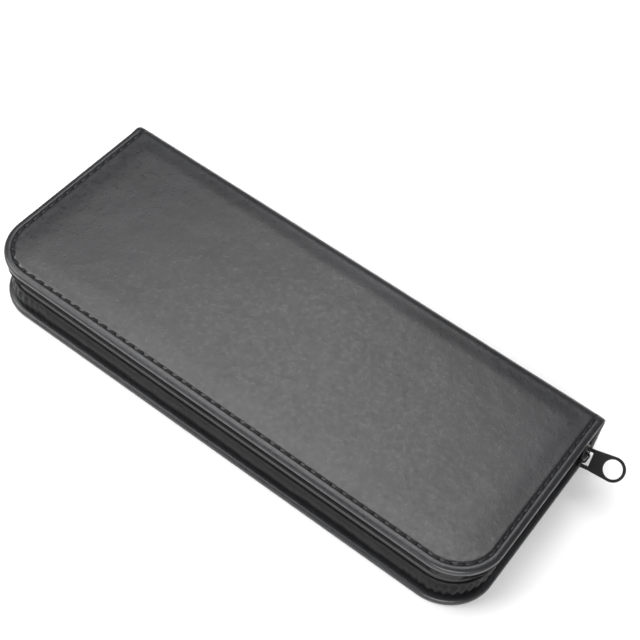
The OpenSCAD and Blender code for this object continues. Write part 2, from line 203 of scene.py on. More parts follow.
def cast(name, pieces, finish, voxel, smoothing):
    """Fuses solids into one body with softened edges, as a small die casting has."""
    whole = merge(name, pieces, finish)
    remesh = whole.modifiers.new("fuse", "REMESH")
    remesh.mode = "VOXEL"
    remesh.voxel_size = voxel * MM
    soften = whole.modifiers.new("soften", "SMOOTH")
    soften.factor = 0.5
    soften.iterations = smoothing
    apply_modifiers(whole)
    whole.data.materials.clear()
    whole.data.materials.append(finish)
    return whole


def put(piece, body, slot, *nodes):
    """Parents a finished piece to the body it rides on and hides the CAD nodes it stands for; the
    slot is not used.
    """
    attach(piece, body)
    if nodes:
        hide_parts(*nodes)
    return piece


# ---------------------------------------------------------------- the covers' edge and fold

def edge_stations(end, step):
    """Stations round the edge, from the spine's right end by the zip side to its left end.

    A point set in by i lies at base + out * (CORNER_R - i). run is the way along the stitches.
    """
    side = np.linspace(end, CORNER_Y, round((end - CORNER_Y) / step) + 1)
    turn = np.linspace(0, math.pi / 2, round(CORNER_R * math.pi / 2 / step) + 1)[1:-1]
    near = np.linspace(CORNER_X, -CORNER_X, round(2 * CORNER_X / step) + 1)
    right = np.tile([CORNER_X, CORNER_Y], (len(turn), 1))
    base = np.concatenate([
        np.column_stack([np.full_like(side, CORNER_X), side]),
        right,
        np.column_stack([near, np.full_like(near, CORNER_Y)]),
        right * [-1, 1],
        np.column_stack([np.full_like(side, -CORNER_X), side[::-1]]),
    ])
    angle = -np.concatenate([
        np.zeros(len(side)), turn, np.full(len(near), math.pi / 2),
        math.pi / 2 + turn, np.full(len(side), math.pi),
    ])
    out = np.column_stack([np.cos(angle), np.sin(angle)])
    steps = np.linalg.norm(np.diff(base + out * (CORNER_R - STITCH_INSET), axis=0), axis=1)
    run = np.concatenate([[0], np.cumsum(steps)]) - (end - STITCH_END_V)
    return base, out, run, side, near


def stitch_rhythm():
    """Number of stitches round a cover, and the distance between them."""
    run = edge_stations(STITCH_END_V, 0.5)[2]
    count = int(run[-1] // STITCH_SPACING)
    return count, run[-1] / count


STITCH_COUNT, STITCH_PITCH = stitch_rhythm()


def roll_over(x, v, depth):
    """Points on the front cover's sheet: v runs along Y, round the roll and down the spine."""
    x, v, depth = np.broadcast_arrays(x, v, depth)
    turn = np.clip(v - ROLL_FROM, 0, ROLL_TO - ROLL_FROM) / ROLL_R
    radius = ROLL_R - depth
    y = np.minimum(v, ROLL_FROM) + radius * np.sin(turn)
    z = TOP_Z - ROLL_R + radius * np.cos(turn) - np.maximum(v - ROLL_TO, 0)
    return np.stack([x, y, z], axis=-1)


def thickness(v):
    """Thickness of cover, fold and spine along the sheet."""
    thin = (COVER_T - FOLD_T) * ease(33.5, 38, v)
    return COVER_T - thin + (SPINE_T - FOLD_T) * ease(42.5, 46.5, v)


def turned_over(points):
    """The same points on the back half of the case."""
    return points * [1, 1, -1] + [0, 0, TOP_Z]


def panel(name, profile, depth, step, front, finish):
    """Closed shell over one cover and half the spine.

    profile is a list of (inset, share), from the middle of the outer face round the edge to the
    middle of the inner face; depth(share, x, v, inset, run) says how deep a point lies.
    """
    base, out, run, side, near = edge_stations(END_V, step)
    inset, share = np.array(profile).T
    flat = base[:, None] + out[:, None] * (CORNER_R - inset)[None, :, None]
    x, v = flat[..., 0], flat[..., 1]
    strip = roll_over(x, v, depth(share, x, v, inset, run[:, None]))
    parts, faces = [strip.reshape(-1, 3)], grid_faces(*strip.shape[:2])
    for face in (0, 1):
        x, v = np.meshgrid(near, side)
        field = roll_over(x, v, depth(face, x, v, CORNER_R, 0))
        faces += grid_faces(*field.shape[:2], first=sum(map(len, parts)))
        parts.append(field.reshape(-1, 3))
    points = np.concatenate(parts)
    if not front:
        points = turned_over(points)
    return build(name, points, faces, finish, close_ends=True)


def bend_at_fold(piece, front):
    """Bakes a piece's placement into its mesh; the piece is not bent across the fold."""
    if front:
        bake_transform(piece)
    else:
        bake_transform(piece)


# ---------------------------------------------------------------- finishes

class Finish:
    """A procedural material, built from patterns placed in millimetres on the piece."""

    def __init__(self, name, roughness=0.5, metallic=0.0, specular=0.5, coat=0.0,
                 coat_roughness=0.2, sheen=0.0, sheen_roughness=0.5):
        self.material = bpy.data.materials.new(name)
        self.material.use_nodes = True
        self.tree = self.material.node_tree
        self.shader = self.tree.nodes["Principled BSDF"]
        self.height = None
        values = {
            "Roughness": roughness, "Metallic": metallic, "Specular IOR Level": specular,
            "Coat Weight": coat, "Coat Roughness": coat_roughness,
            "Sheen Weight": sheen, "Sheen Roughness": sheen_roughness,
        }
        for socket, value in values.items():
            self.shader.inputs[socket].default_value = value

    def node(self, kind, inputs=None, **settings):
        made = self.tree.nodes.new("ShaderNode" + kind)
        for key, value in settings.items():
            setattr(made, key, value)
        for key, value in (inputs or {}).items():
            if isinstance(value, bpy.types.NodeSocket):
                self.tree.links.new(value, made.inputs[key])
            else:
                made.inputs[key].default_value = value
        return made

    def place(self, stretch=(1, 1, 1), turn=0.0):
        """Coordinates in millimetres on the piece, stretched and turned about Z."""
        coordinates = self.node("TexCoord").outputs["Object"]
        scale = [s / MM for s in stretch]
        mapping = self.node("Mapping", {"Vector": coordinates, "Scale": scale,
                                        "Rotation": (0, 0, turn)})
        return mapping.outputs["Vector"]

    def cloud(self, size, detail=3.0, roughness=0.5, stretch=(1, 1, 1), distortion=0.0):
        """Noise whose lumps are about size millimetres across."""
        made = self.node("TexNoise", {
            "Vector": self.place(stretch), "Scale": 1 / size, "Detail": detail,
            "Roughness": roughness, "Distortion": distortion})
        return made.outputs["Fac"]

    def pebbles(self, size):
        """Cells about size millimetres across, with soft valleys between them."""
        drift = self.node("TexNoise", {"Vector": self.place(), "Scale": 1 / (2 * size)})
        moved = self.node("VectorMath", {0: self.place(), 1: drift.outputs["Color"]},
                          operation="ADD")
        cells = self.node("TexVoronoi", {"Vector": moved.outputs[0], "Scale": 1 / size,
                                         "Smoothness": 0.6}, feature="SMOOTH_F1")
        return cells.outputs["Distance"]

    def threads(self, spacing, direction, turn=0.0):
        """Parallel threads at this spacing in millimetres."""
        made = self.node("TexWave", {"Vector": self.place(turn=turn),
                                     "Scale": math.pi / (10 * spacing)},
                         wave_type="BANDS", bands_direction=direction)
        return made.outputs["Fac"]

    def mix(self, a, b, operation="ADD", scale=1.0):
        """Two patterns put together; scale multiplies the second first."""
        if scale != 1.0:
            b = self.node("Math", {0: b, 1: scale}, operation="MULTIPLY").outputs[0]
        return self.node("Math", {0: a, 1: b}, operation=operation).outputs[0]

    def spread(self, pattern, low, high, to_low=0.0, to_high=1.0):
        """Stretches the part of a pattern between low and high over a new range."""
        made = self.node("MapRange", {"Value": pattern, "From Min": low, "From Max": high,
                                      "To Min": to_low, "To Max": to_high})
        return made.outputs["Result"]

    def colour(self, pattern, dark, light):
        """Colour between dark and light, as the pattern says."""
        made = self.node("Mix", {"Factor": pattern}, data_type="RGBA")
        made.inputs["A"].default_value = (*dark, 1)
        made.inputs["B"].default_value = (*light, 1)
        self.tree.links.new(made.outputs["Result"], self.shader.inputs["Base Color"])
        return made.outputs["Result"]

    def lighten_wear_and_highlight(self, colour, attribute, light, strength=1.0):
        """Lightens the colour where the mesh's attribute asks: wear on rubbed edges, and a
        highlight painted on edges that catch the light.
        """
        wear_and_highlight = self.node("Attribute", attribute_name=attribute).outputs["Fac"]
        patchy = self.mix(wear_and_highlight, self.spread(self.cloud(3.5), 0.35, 0.65, 0.3, strength),
                          "MULTIPLY")
        made = self.node("Mix", {"Factor": patchy, "A": colour}, data_type="RGBA")
        made.inputs["B"].default_value = (*light, 1)
        self.tree.links.new(made.outputs["Result"], self.shader.inputs["Base Color"])

    def rough(self, pattern, low, high):
        """Roughness between two values, as the pattern says."""
        self.tree.links.new(self.spread(pattern, 0.3, 0.7, low, high),
                            self.shader.inputs["Roughness"])

    def raised(self, pattern, height, strength=1.0):
        """Raises the surface by a pattern, by up to height millimetres."""
        inputs = {"Height": pattern, "Strength": strength, "Distance": height * MM}
        if self.height is not None:
            inputs["Normal"] = self.height
        self.height = self.node("Bump", inputs).outputs["Normal"]
        self.tree.links.new(self.height, self.shader.inputs["Normal"])


def leather(name, dark, light, wear_and_highlight, shine, specular=0.5, grain=0.018):
    """Smooth fine-grained leather cloth, with lighter edges: wear, and a highlight painted along
    them.
    """
    made = Finish(name, roughness=shine, specular=specular)
    colour = made.colour(made.spread(made.cloud(26, 4), 0.35, 0.65), dark, light)
    made.lighten_wear_and_highlight(colour, "wear_and_highlight", wear_and_highlight, 0.8)
    made.rough(made.cloud(1.6, 4, 0.6), shine - 0.06, shine + 0.08)
    made.raised(made.pebbles(0.85), grain)
    made.raised(made.cloud(0.35, 3, 0.6), grain * 0.4)
    made.raised(made.cloud(9, 2), 0.12)
    return made.material


def cloth(name, dark, light, spacing, height, sheen, turn=0.0):
    """Plain woven cloth: two crossing sets of threads, with uneven yarn."""
    made = Finish(name, roughness=0.85, specular=0.25, sheen=sheen)
    warp = made.threads(spacing, "X", turn)
    weft = made.threads(spacing, "Y", turn)
    weave = made.mix(warp, weft, "MULTIPLY")
    slub = made.cloud(2.2, 4, stretch=(1, 0.25, 1))
    tone = made.mix(made.spread(made.cloud(18, 3), 0.35, 0.65), made.mix(slub, weave), scale=0.5)
    made.colour(made.spread(tone, 0.2, 1.5), dark, light)
    made.raised(weave, height)
    made.raised(slub, height * 0.7)
    return made.material


def zip_cloth(name):
    """Herringbone zip tape."""
    made = Finish(name, roughness=0.8, specular=0.3, sheen=0.25)
    rib = made.threads(0.55, "Z")
    twill = made.threads(0.7, "DIAGONAL")
    weave = made.mix(rib, twill, "MULTIPLY")
    made.colour(made.spread(made.mix(weave, made.cloud(1.1)), 0.3, 1.3),
                (0.006, 0.006, 0.007), (0.026, 0.026, 0.029))
    made.raised(weave, 0.06)
    made.raised(made.cloud(0.3), 0.03)
    return made.material


def ribbed_elastic(name):
    """Covered elastic: fine cross threads over its ribs."""
    made = Finish(name, roughness=0.78, specular=0.3, sheen=0.3)
    cross = made.threads(0.4, "Y")
    fibre = made.cloud(0.5, 4, 0.7)
    made.colour(made.spread(made.mix(cross, fibre), 0.3, 1.4),
                (0.007, 0.007, 0.008), (0.03, 0.03, 0.034))
    made.raised(cross, 0.05)
    made.raised(fibre, 0.03)
    return made.material


def sewing_thread(name):
    """Bonded twisted thread."""
    made = Finish(name, roughness=0.6, specular=0.25)
    twist = made.threads(0.35, "DIAGONAL")
    made.colour(made.mix(twist, made.cloud(0.6), "MULTIPLY"),
                (0.004, 0.004, 0.0045), (0.014, 0.014, 0.015))
    made.raised(twist, 0.04)
    return made.material


def nylon(name):
    """Moulded nylon filament of the coils."""
    made = Finish(name, roughness=0.35, specular=0.5)
    made.colour(made.cloud(2.0), (0.006, 0.006, 0.007), (0.016, 0.016, 0.018))
    made.rough(made.cloud(0.5), 0.28, 0.46)
    made.raised(made.cloud(0.25), 0.01)
    return made.material


def painted_metal(name):
    """Black enamel over a zinc casting, with a faint orange peel and small scuffs."""
    made = Finish(name, roughness=0.4, specular=0.2)
    scuff = made.cloud(1.2, 5, 0.75, stretch=(1, 4, 1))
    made.colour(made.spread(scuff, 0.62, 0.8), (0.004, 0.004, 0.0045), (0.02, 0.02, 0.021))
    made.rough(scuff, 0.34, 0.5)
    made.raised(made.cloud(0.7), 0.02)
    return made.material


def rivet_metal(name):
    """Dull nickel of the cap rivet, with circular polishing marks."""
    made = Finish(name, roughness=0.35, metallic=1.0)
    marks = made.cloud(0.25, 4, 0.7, stretch=(1, 1, 0.2))
    made.colour(marks, (0.2, 0.2, 0.21), (0.42, 0.42, 0.44))
    made.rough(marks, 0.28, 0.45)
    made.raised(marks, 0.01)
    return made.material


def grey_board(name):
    """Recycled grey board with fibres."""
    made = Finish(name, roughness=0.9)
    fibre = made.cloud(1.5, 5, 0.7, stretch=(1, 3, 1))
    made.colour(fibre, (0.2, 0.19, 0.17), (0.38, 0.36, 0.33))
    made.raised(fibre, 0.05)
    return made.material


def white_foam(name):
    """Open-cell foam."""
    made = Finish(name, roughness=0.95)
    cells = made.pebbles(0.5)
    made.colour(cells, (0.5, 0.49, 0.45), (0.8, 0.79, 0.75))
    made.raised(cells, 0.15)
    return made.material


# The third colour of each leather is the tone of its lightened edges: wear, and a painted
# highlight along them.
COVER = leather("cover_leather", (0.009, 0.0092, 0.0105), (0.013, 0.0133, 0.015),
                (0.026, 0.026, 0.028), 0.31)
WALL = leather("wall_leather", (0.003, 0.003, 0.0032), (0.006, 0.006, 0.0065),
               (0.02, 0.02, 0.021), 0.34, specular=0.14)
SLEEVE = leather("sleeve_leather", (0.013, 0.013, 0.015), (0.02, 0.02, 0.023),
                 (0.07, 0.07, 0.078), 0.36)
LINING = cloth("lining_cloth", (0.050, 0.047, 0.066), (0.078, 0.074, 0.098), 0.45, 0.05, 0.2)
TAPE = zip_cloth("zip_tape")
COIL = nylon("zip_coil")
ELASTIC = ribbed_elastic("elastic")
THREAD = sewing_thread("thread")
METAL = painted_metal("black_metal")
RIVET = rivet_metal("rivet_metal")
BOARD = grey_board("grey_board")
FOAM = white_foam("white_foam")


def mark_wear_and_highlight(piece, weight):
    """Stores how much each point is lightened, for wear and for a painted highlight, from its
    place: weight(x, y, z) in millimetres.
    """
    points = np.array([v.co for v in piece.data.vertices]) / MM
    attribute = piece.data.attributes.new("wear_and_highlight", "FLOAT", "POINT")
    attribute.data.foreach_set("value", weight(*points.T).astype(np.float32))


def inset_of(x, y):
    """How far a point lies inside the covers' outline."""
    across, along = np.abs(x) - CORNER_X, CORNER_Y - y
    in_corner = (across > 0) & (along > 0)
    straight = np.minimum(HALF_L - np.abs(x), y - NEAR_Y)
    return np.where(in_corner, CORNER_R - np.hypot(across, along), straight)


# ---------------------------------------------------------------- covers

def rim_profile(points=14, width=2.0, square=0.72):
    """Edge of a cover as (inset, share of its thickness), from its outer to its inner face."""
    angles = np.linspace(math.pi / 2, -math.pi / 2, points)
    made = []
    for a in angles:
        inset = width - width * abs(math.cos(a)) ** square
        share = 0.5 - 0.5 * math.copysign(abs(math.sin(a)) ** square, math.sin(a))
        made.append((inset, share))
    return made


def leather_profile():
    """Cross-section of a cover's leather, from the middle of one face to that of the other."""
    face = [CORNER_R, 14, 11, 9, 7.5, 6.2, 5.2, 4.5, 4.0, 3.7, 3.45, 3.2, 3.0, 2.8, 2.55, 2.3]
    inner = [3.0, 5.0, 8.0, 12.0, CORNER_R]
    return [(i, 0) for i in face] + rim_profile() + [(i, 1) for i in inner]


def leather_depth(front):
    """Depth of the leather's points: crowned by its foam, sunk along the row of stitches."""
    def depth(share, x, v, inset, run):
        sewn = 1 - ease(37, 40, v)
        hole = 0.42 + 0.1 * np.cos(2 * math.pi * run / STITCH_PITCH)
        groove = hole * sewn * np.exp(-(((inset - STITCH_INSET) / 0.5) ** 2))
        crown = 0.34 * ease(3.3, 12, inset) * (1 - ease(30, 37, v)) if front else 0
        welt = 0.12 * sewn * np.exp(-(((inset - 1.9) / 0.6) ** 2)) if front else 0
        soft = 0.05 * wobble(x / 23, v / 15, 3.0 if front else 8.0) if front else 0
        outer = groove - crown - welt + soft * ease(2.5, 8, inset)
        return share * thickness(v) + (1 - share) ** 2 * outer
    return depth


def cover_leather(front):
    name = "front_leather" if front else "back_leather"
    piece = panel(name, leather_profile(), leather_depth(front), STITCH_PITCH / 5, front, COVER)
    # The outer millimetre of the cover's edge is lightened in patches: edge wear, and a painted
    # highlight on the rounded rim.
    mark_wear_and_highlight(piece, lambda x, y, z: 1 - ease(0.1, 1.1, inset_of(x, y)))
    if front:
        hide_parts("front_cover_skin", "spine_skin")
    else:
        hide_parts("back_cover_skin")
    bend_at_fold(piece, front)


def lining_depth(share, x, v, inset, run):
    """Depth of the lining's points: on the cover's inner face, with faint waves."""
    waves = 0.05 * wobble(x / 14, v / 10, 5.0) * ease(3, 8, inset)
    edge = 0.12 * (1 - ease(2.8, 3.6, inset))
    return thickness(v) - 0.15 + share * (LINING_T + 0.15 + edge + waves)


def cover_lining(front):
    name = "front_lining" if front else "back_lining"
    rim = WALL_INSET + 0.55
    insets = [CORNER_R, 12, 8, 5, 3.8, 3.1, rim]
    profile = [(i, 0) for i in insets] + [(rim, 0.5)] + [(i, 1) for i in insets[::-1]]
    piece = panel(name, profile, lining_depth, 1.25, front, LINING)
    if front:
        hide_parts("front_cover_lining", "spine_lining")
    else:
        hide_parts("back_cover_lining")
    bend_at_fold(piece, front)


def hidden_plate(name, node, body, finish, slot, end_y):
    """Board or foam inside a cover's leather, with its edges a little rounded."""
    low, high = span(node)
    base, out, *_ = edge_stations(end_y, 1.5)
    inset = HALF_L - high.x
    half = (high.z - low.z) * 0.37
    middle = (high.z + low.z) / 2
    rings = []
    for back, height in ((0.5, -half), (0.35, -half + 0.1), (0.35, half - 0.1), (0.5, half)):
        flat = base + out * (CORNER_R - inset - back)
        rings.append(np.column_stack([flat, np.full(len(flat), middle + height)]))
    put(loft(name, np.array(rings), finish), body, slot, node)


def spine_board():
    """Stiffener inside the spine."""
    low, high = span("spine_stiffener")
    middle = (low + high) / 2
    half_z = (high.z - low.z) / 2 - 1.5
    rings = []
    for x in (low.x, low.x + 0.2, high.x - 0.2, high.x):
        trim = 0.2 if x in (low.x, high.x) else 0.0
        corners = [(-1, -1), (1, -1), (1, 1), (-1, 1)]
        half_y = (high.y - low.y) / 2 - 0.2 - trim
        rings.append([(x, middle.y + a * half_y, middle.z + b * (half_z - trim))
                      for a, b in corners])
    put(loft("spine_board", np.array(rings), BOARD), "spine", "board", "spine_stiffener")


def covers():
    for front in (True, False):
        side, body = ("front", "top_half") if front else ("back", "bottom_half")
        cover_leather(front)
        cover_lining(front)
        hidden_plate(f"{side}_board", f"{side}_cover_board", body, BOARD, "board", 33.0)
        hidden_plate(f"{side}_foam", f"{side}_cover_foam", body, FOAM, "foam", 33.0)
    spine_board()


# ---------------------------------------------------------------- stitches

def stitch_mesh(length, width, height, sides=8, sections=9):
    """Points and faces of one stitch along X, humped in the middle and sunk at both ends."""
    rings = []
    for u in np.linspace(-1, 1, sections):
        round_off = math.sqrt(max(0.0, 1 - abs(u) ** 5)) * 0.85 + 0.15
        rise = height * (1 - u ** 4) - 0.5 * height
        ring = []
        for k in range(sides):
            a = 2 * math.pi * k / sides
            ring.append((u * length / 2, width / 2 * round_off * math.cos(a),
                         rise + height / 2 * round_off * math.sin(a)))
        rings.append(ring)
    faces = grid_faces(sections, sides, closed=True)
    faces += [tuple(range(sides)), tuple(range((sections - 1) * sides, sections * sides))]
    return np.array(rings).reshape(-1, 3), faces


def stitches(name, places, length, width, height, slant=7.0):
    """Row of stitches; a place is (point, way along the row, way out of the surface)."""
    shape, faces = stitch_mesh(length, width, height)
    lean = math.radians(slant)
    points, all_faces = [], []
    for at, along, out in places:
        along, out = np.array(along, float), np.array(out, float)
        across = np.cross(out, along)
        way = along * math.cos(lean) + across * math.sin(lean)
        axes = np.array([way, np.cross(out, way), out])
        first = len(points) * len(shape)
        points.append(shape @ axes + at)
        all_faces += [tuple(first + i for i in face) for face in faces]
    return build(name, np.concatenate(points), all_faces, THREAD)


def cover_stitches(front):
    """The row sewn round a cover, lying in its groove."""
    base, out, run, *_ = edge_stations(STITCH_END_V, 0.25)
    line = base + out * (CORNER_R - STITCH_INSET)
    way = np.gradient(line, axis=0)
    way /= np.linalg.norm(way, axis=1)[:, None]
    depth = 0.36
    places = []
    for i in range(STITCH_COUNT):
        s = (i + 0.5) * STITCH_PITCH
        x, y, dx, dy = (np.interp(s, run, c) for c in (*line.T, *way.T))
        if front:
            places.append(((x, y, TOP_Z - depth), (dx, dy, 0), (0, 0, 1)))
        else:
            places.append(((x, y, depth), (dx, dy, 0), (0, 0, -1)))
    side, body = ("front", "top_half") if front else ("back", "bottom_half")
    piece = stitches(f"{side}_stitches", places, 3.0, 0.95, 0.4)
    put(piece, body, "thread", f"{side}_cover_stitching")


# ---------------------------------------------------------------- side walls

def fold_line_z(y, fold, gap=0.35):
    """Height of the slanting fold line at y, on the walls' side of it."""
    return fold[1] + (fold[0] - gap - y) * (ZIP_Z - fold[1]) / (fold[0] - ZIP_END_Y)


def corner_nearness(run, reach=15.0):
    """1 in the middle of either round corner, fading along the straight sides."""
    side_run = STITCH_END_V - CORNER_Y
    middle = side_run + (CORNER_R - STITCH_INSET) * math.pi / 4
    total = STITCH_COUNT * STITCH_PITCH
    away = np.minimum(np.abs(run - middle), np.abs(run - (total - middle)))
    return np.exp(-((away / reach) ** 2))


def wall_sweep(name, loop, full_z, edge_z, ruffle, finish, step=0.6):
    """Wall round the case: loop is (inset, share of the height), closed, from the cover to the
    free edge; full_z is where it starts, edge_z(y) its free edge, ruffle(run, share) its waves."""
    base, out, run, *_ = edge_stations(38.0, step)
    inset, share = np.array(loop).T
    top = edge_z(base[:, 1])[:, None]
    z = full_z + (top - full_z) * share
    tallest = np.abs(edge_z(np.array([0.0]))[0] - full_z)
    grown = np.clip(np.abs(top - full_z) / tallest, 0, 1)
    inset = WALL_INSET + (inset - WALL_INSET) * (0.25 + 0.75 * grown)
    inset = inset - ruffle(run[:, None], share) * grown
    inset = np.minimum(inset, TAPE_INSET + 0.02)
    flat = base[:, None] + out[:, None] * (CORNER_R - inset)[..., None]
    rings = np.concatenate([flat, np.broadcast_to(z, inset.shape)[..., None]], axis=2)
    return loft(name, rings, finish)


def back_wall():
    """Tall glossy wall on the back cover, swollen and gathered at the corners."""
    start, top = COVER_T - 1.0, LOWER_WALL_Z
    hem = [(2.2, 0.885), (1.98, 0.91), (1.95, 0.95), (2.05, 0.985), (2.4, 1.0), (2.75, 0.995),
           (3.0, 0.96)]
    swell = [(2.4 - 0.62 * math.sin(math.pi * t) ** 0.8, 0.09 + 0.78 * t)
             for t in np.linspace(0, 1, 12)]
    loop = [(2.6, 0.0)] + swell + hem + [(3.0, s) for s in (0.75, 0.5, 0.25, 0.0)]

    def edge_z(y):
        return np.minimum(top, fold_line_z(y, LOWER_FOLD))

    def ruffle(run, share):
        near = corner_nearness(run)
        body = np.sin(math.pi * np.clip(share, 0, 1)) ** 0.7
        phase = 2.2 * wobble(run / 7, share * 1.2, 1.0)
        pleat = np.sin(2 * math.pi * run / 2.6 + phase)
        slow = wobble(run / 9, share * 1.4, 2.0) + 0.6 * wobble(run / 3.4, share * 2.5, 7.0)
        return body * (near * (0.3 * pleat + 0.1) + 0.24 * slow)

    piece = wall_sweep("back_wall", loop, start, edge_z, ruffle, WALL)
    # The wall's top edge is lightened: a painted highlight on the upward-facing edge, with some
    # wear.
    mark_wear_and_highlight(piece, lambda x, y, z: ease(top - 0.5, top - 0.1, z) * 0.8)
    put(piece, "bottom_half", "wall_leather", "back_gusset")


def front_wall():
    """Low wall under the front cover, whose hem is folded outwards."""
    start, tip = TOP_Z - COVER_T + 1.0, UPPER_WALL_Z + 0.1
    shape = [(2.6, 21.0), (2.4, 19.9), (2.15, 19.3), (1.6, 18.6), (1.05, 18.0), (0.72, 17.75),
             (0.56, 17.55), (0.6, 17.35), (0.85, 17.22), (1.4, 17.15), (2.1, 17.1),
             (2.6, 16.95), (2.9, 16.82), (3.0, 17.0), (3.0, 18.5), (3.0, 21.0)]
    loop = [(inset, (start - z) / (start - 16.8)) for inset, z in shape]

    def edge_z(y):
        return np.maximum(tip, fold_line_z(y, UPPER_FOLD))

    def ruffle(run, share):
        near = corner_nearness(run)
        wave = wobble(run / 6, 0.5, 4.0) * 0.07 + near * 0.06 * np.sin(2 * math.pi * run / 2.9)
        return wave * ease(0.2, 0.7, share)

    piece = wall_sweep("front_wall", loop, start, edge_z, ruffle, WALL)
    # The hem's outer lip is lightened: a painted highlight along the lip that catches the light,
    # with some wear.
    mark_wear_and_highlight(piece, lambda x, y, z: 1 - ease(0.55, 0.95, inset_of(x, y)))
    put(piece, "top_half", "wall_leather", "front_gusset", "gusset_piping")


def end_web(side):
    """Soft triangular web on the end of the spine, between the two fold lines."""
    name = "right_web" if side > 0 else "left_web"
    gap = -0.5
    wall_x = (WEB_LOW.x + WEB_HIGH.x) / 2
    half_t = (WEB_HIGH.x - WEB_LOW.x) / 2
    rings = []
    for u in np.linspace(0, 1, 15):
        y = 38.9 + (ZIP_END_Y + 0.65 - 38.9) * u
        low, high = fold_line_z(y, LOWER_FOLD, gap), fold_line_z(y, UPPER_FOLD, gap)
        across = np.linspace(0.02, 0.98, 13)
        z = low + (high - low) * across
        swell = 0.35 * np.sin(math.pi * across) * math.sin(math.pi * min(1.0, u + 0.15))
        swell = swell + 0.12 * wobble(y / 3.0, z / 3.0, 9.0 + side)
        outer = np.column_stack([side * (wall_x + half_t + swell), np.full(13, y), z])
        inner = np.column_stack([side * (wall_x - half_t + swell * 0.5), np.full(13, y), z])
        rings.append(np.concatenate([outer, inner[::-1]]))
    piece = loft(name, np.array(rings), WALL)
    mark_wear_and_highlight(piece, lambda x, y, z: np.zeros(len(x)))
    put(piece, "spine", "wall_leather", "right_end_web" if side > 0 else "left_end_web")


def pleat_fan(side, front, columns=13, rows=9, depth=1.5):
    """Accordion pleats that join a wall to the web; they lie shut beside the fold line."""
    fold = UPPER_FOLD if front else LOWER_FOLD
    apex = np.array([ZIP_END_Y, ZIP_Z])
    reach = np.linalg.norm(apex - fold)
    ray = (apex - fold) / reach
    to_web = np.array([abs(ray[1]), -ray[0] if ray[1] > 0 else ray[0]])
    wall_gap, web_gap = -0.35 * to_web[0], 0.5 * to_web[0]
    x_mid = (WEB_LOW.x + WEB_HIGH.x) / 2
    share = np.linspace(0, 1, columns)
    eased = 0.5 - np.sin(np.arcsin(1 - 2 * share) / 3)
    place = np.concatenate([[wall_gap - 0.9], wall_gap + (web_gap - wall_gap) * eased,
                            [web_gap + 0.9]])
    zig = np.concatenate([[0.1], np.arange(columns) % 2, [0.1]])
    sheets = []
    for thick in (0.0, 0.22):
        for rho in np.linspace(0.9, reach - 0.5, rows):
            point = fold + ray * rho + place[:, None] * to_web
            x = side * (x_mid + 0.25 - thick - depth * zig * (0.15 + 0.85 * rho / reach))
            sheets.append(np.column_stack([x, point]))
    rings = np.array([np.concatenate([sheets[r], sheets[rows + r][::-1]]) for r in range(rows)])
    where = ("right" if side > 0 else "left") + ("_upper" if front else "_lower")
    piece = loft(f"{where}_pleats", rings, WALL)
    # The pleats' outer crests are lightened.
    mark_wear_and_highlight(piece, lambda x, y, z: 0.4 * ease(x_mid - 0.1, x_mid + 0.3, np.abs(x)))
    if front:
        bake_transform(piece)
    else:
        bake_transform(piece)


def walls():
    back_wall()
    front_wall()
    for side in (1, -1):
        end_web(side)
        for front in (True, False):
            pleat_fan(side, front)


# ---------------------------------------------------------------- zip

def tube_rings(points, normals, radius, sides=6, flat=1.0):
    """Rings round a line of points; flat scales the ring across the normals."""
    way = np.gradient(points, axis=0)
    way /= np.linalg.norm(way, axis=1)[:, None]
    normals = normals - (normals * way).sum(1)[:, None] * way
    normals /= np.linalg.norm(normals, axis=1)[:, None]
    beside = np.cross(way, normals)
    angle = 2 * math.pi * np.arange(sides) / sides
    ring = (np.cos(angle)[None, :, None] * normals[:, None]
            + flat * np.sin(angle)[None, :, None] * beside[:, None])
    return points[:, None] + radius * ring


def zip_coil(name, node, body, middle_z, phase):
    """Nylon coil along a tape's edge; the two coils' loops mesh with each other."""
    pitch, wire, half_w, half_h, steps = 1.3, 0.17, 0.62, 0.46, 12
    base, out, *_ = edge_stations(COIL_HIGH.y, 0.5)
    behind_tape_face = 0.25
    line = base + out * (CORNER_R - TAPE_INSET - behind_tape_face)
    run = np.concatenate([[0], np.cumsum(np.linalg.norm(np.diff(line, axis=0), axis=1))])
    s = np.linspace(0, run[-1], round(run[-1] / pitch) * steps)
    turn = 2 * math.pi * s / pitch + phase
    centre = np.column_stack([np.interp(s, run, c) for c in line.T] + [np.full(len(s), middle_z)])
    outward = np.column_stack([np.interp(s, run, c) for c in out.T] + [np.zeros(len(s))])
    radial = outward * np.cos(turn)[:, None] * half_w
    radial[:, 2] += np.sin(turn) * half_h
    piece = loft(name, tube_rings(centre + radial, radial, wire), COIL)
    put(piece, body, "zip_coil", node)


def block(low, high):
    """Box between two corners, as a piece to cast."""
    rings = [[(x, low[1], low[2]), (x, high[1], low[2]), (x, high[1], high[2]),
              (x, low[1], high[2])] for x in (low[0], high[0])]
    return loft("block", np.array(rings), METAL)


def slug(start, end, radius, sides=20):
    """Round bar between two points, as a piece to cast."""
    start, end = np.array(start, float), np.array(end, float)
    side = np.cross(end - start, (0.3, 0.5, 0.8))
    rings = tube_rings(np.array([start, (start + end) / 2, end]), np.array([side] * 3), radius,
                       sides)
    return loft("slug", rings, METAL)


def zip_stops():
    """Crimped metal stops on the ends of the tapes."""
    for node, body in (("lower_top_stop", "bottom_half"), ("zip_bottom_stop", "bottom_half"),
                       ("upper_top_stop", "top_half")):
        low, high = span(node)
        waist = 0.14
        middle = (low.y + high.y) / 2
        parts = [block((low.x, low.y, low.z), (high.x, middle - 0.25, high.z)),
                 block((low.x, middle + 0.25, low.z), (high.x, high.y, high.z)),
                 block((low.x + waist, low.y + 0.2, low.z + waist),
                       (high.x - waist, high.y - 0.2, high.z - waist))]
        put(cast(f"{node}_crimp", parts, METAL, 0.09, 2), body, "black_metal", node)


